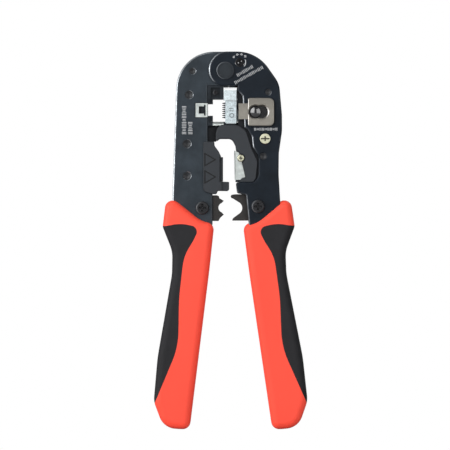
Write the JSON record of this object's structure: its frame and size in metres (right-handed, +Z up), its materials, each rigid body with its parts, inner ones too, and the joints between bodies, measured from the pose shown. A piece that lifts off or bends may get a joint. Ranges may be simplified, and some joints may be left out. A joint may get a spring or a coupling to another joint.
{
  "type": "crimping tool",
  "caption": "Plier-style crimping tool with a modular plug opening and ram, a blade and guard for stripping flat cable, a two-lobe crimping jaw and cushioned handles.",
  "frame": {"origin": "middle of the tool's outline, level with the handles' lower ends", "axes": "+Z up the tool from the handles' ends to the head; the tool faces -Y; +X towards the moving handle"},
  "size_m": [0.0771, 0.02, 0.1901],
  "materials": {
    "blued_plate": "satin blackened steel",
    "dark_core": "dull blackened steel",
    "blued_pin": "satin blackened steel",
    "bright_steel": "ground steel",
    "ram_steel": "mottled cast and ground steel",
    "jaw_steel": "dark warm grey sintered steel",
    "black_screw": "black oxide",
    "brass_screw": "pale passivated brass",
    "spring_steel": "spring wire",
    "satin_nickel": "warm satin nickel",
    "guard_plastic": "charcoal moulded plastic",
    "button_black": "gloss black",
    "grip_orange": "satin orange-red moulded plastic",
    "grip_inlay": "matt charcoal soft rubber"
  },
  "bodies": {
    "fixed_frame": {"fixed_plate_front": "blued_plate", "fixed_plate_rear": "blued_plate", "fixed_spacer": "dark_core", "fixed_rivets": "blued_pin", "connector_nest": "blued_plate", "nest_floor": "bright_steel", "nest_clip": "bright_steel", "nest_screws": "black_screw", "strip_guard": "guard_plastic", "anvil_strip": "guard_plastic", "fixed_jaw": "jaw_steel", "fixed_jaw_screw": "black_screw", "fixed_jaw_nut": "black_screw", "pivot_pin": "blued_pin", "pivot_retainer": "bright_steel", "return_spring": "spring_steel", "fixed_grip": "grip_orange", "fixed_grip_inlay": "grip_inlay"},
    "moving_frame": {"moving_plate_front": "blued_plate", "moving_plate_rear": "blued_plate", "moving_liner_front": "dark_core", "moving_liner_rear": "dark_core", "moving_rivets": "blued_pin", "drive_block": "dark_core", "moving_jaw": "jaw_steel", "moving_jaw_screw": "black_screw", "moving_jaw_nut": "black_screw", "blade_holder": "guard_plastic", "strip_blade": "bright_steel", "blade_screw": "brass_screw", "adjuster_screw": "brass_screw", "button_spring": "spring_steel", "moving_grip": "grip_orange", "moving_grip_inlay": "grip_inlay"},
    "ram": {"crimp_ram": "ram_steel", "ram_keeper": "ram_steel", "ram_keeper_screws": "black_screw", "contact_punches": "blued_pin"},
    "pusher": {"clip_pusher": "satin_nickel"},
    "button": {"detent_button": "button_black"},
    "lock": {"lock_knob": "blued_pin"}
  },
  "joints": [
    {"name": "handle_pivot", "type": "hinge", "parent": "fixed_frame", "child": "moving_frame", "pos_m": [-0.0023, 0, 0.1805], "axis": [0, 1, 0], "range_deg": [0, 4.8], "stiffness_Nm_per_rad": 0.9, "springref_deg": -20.05, "deforming": ["return_spring"]},
    {"name": "ram_slide", "type": "slide", "parent": "fixed_frame", "child": "ram", "axis": [-1, 0, 0], "range_m": [0, 0.0018]},
    {"name": "pusher_slide", "type": "slide", "parent": "moving_frame", "child": "pusher", "axis": [-1, 0, 0], "range_m": [0, 0.0031]},
    {"name": "button_press", "type": "slide", "parent": "moving_frame", "child": "button", "axis": [0, 1, 0], "range_m": [0, 0.0012], "stiffness_N_per_m": 400, "deforming": ["button_spring"]},
    {"name": "lock_turn", "type": "hinge", "parent": "moving_frame", "child": "lock", "pos_m": [0.00495, 0, 0.1846], "axis": [0, -1, 0], "range_deg": [0, 90]}
  ],
  "couplings": [
    {"joint": "ram_slide", "follows": "handle_pivot", "m_per_rad": 0.0206}
  ]
}
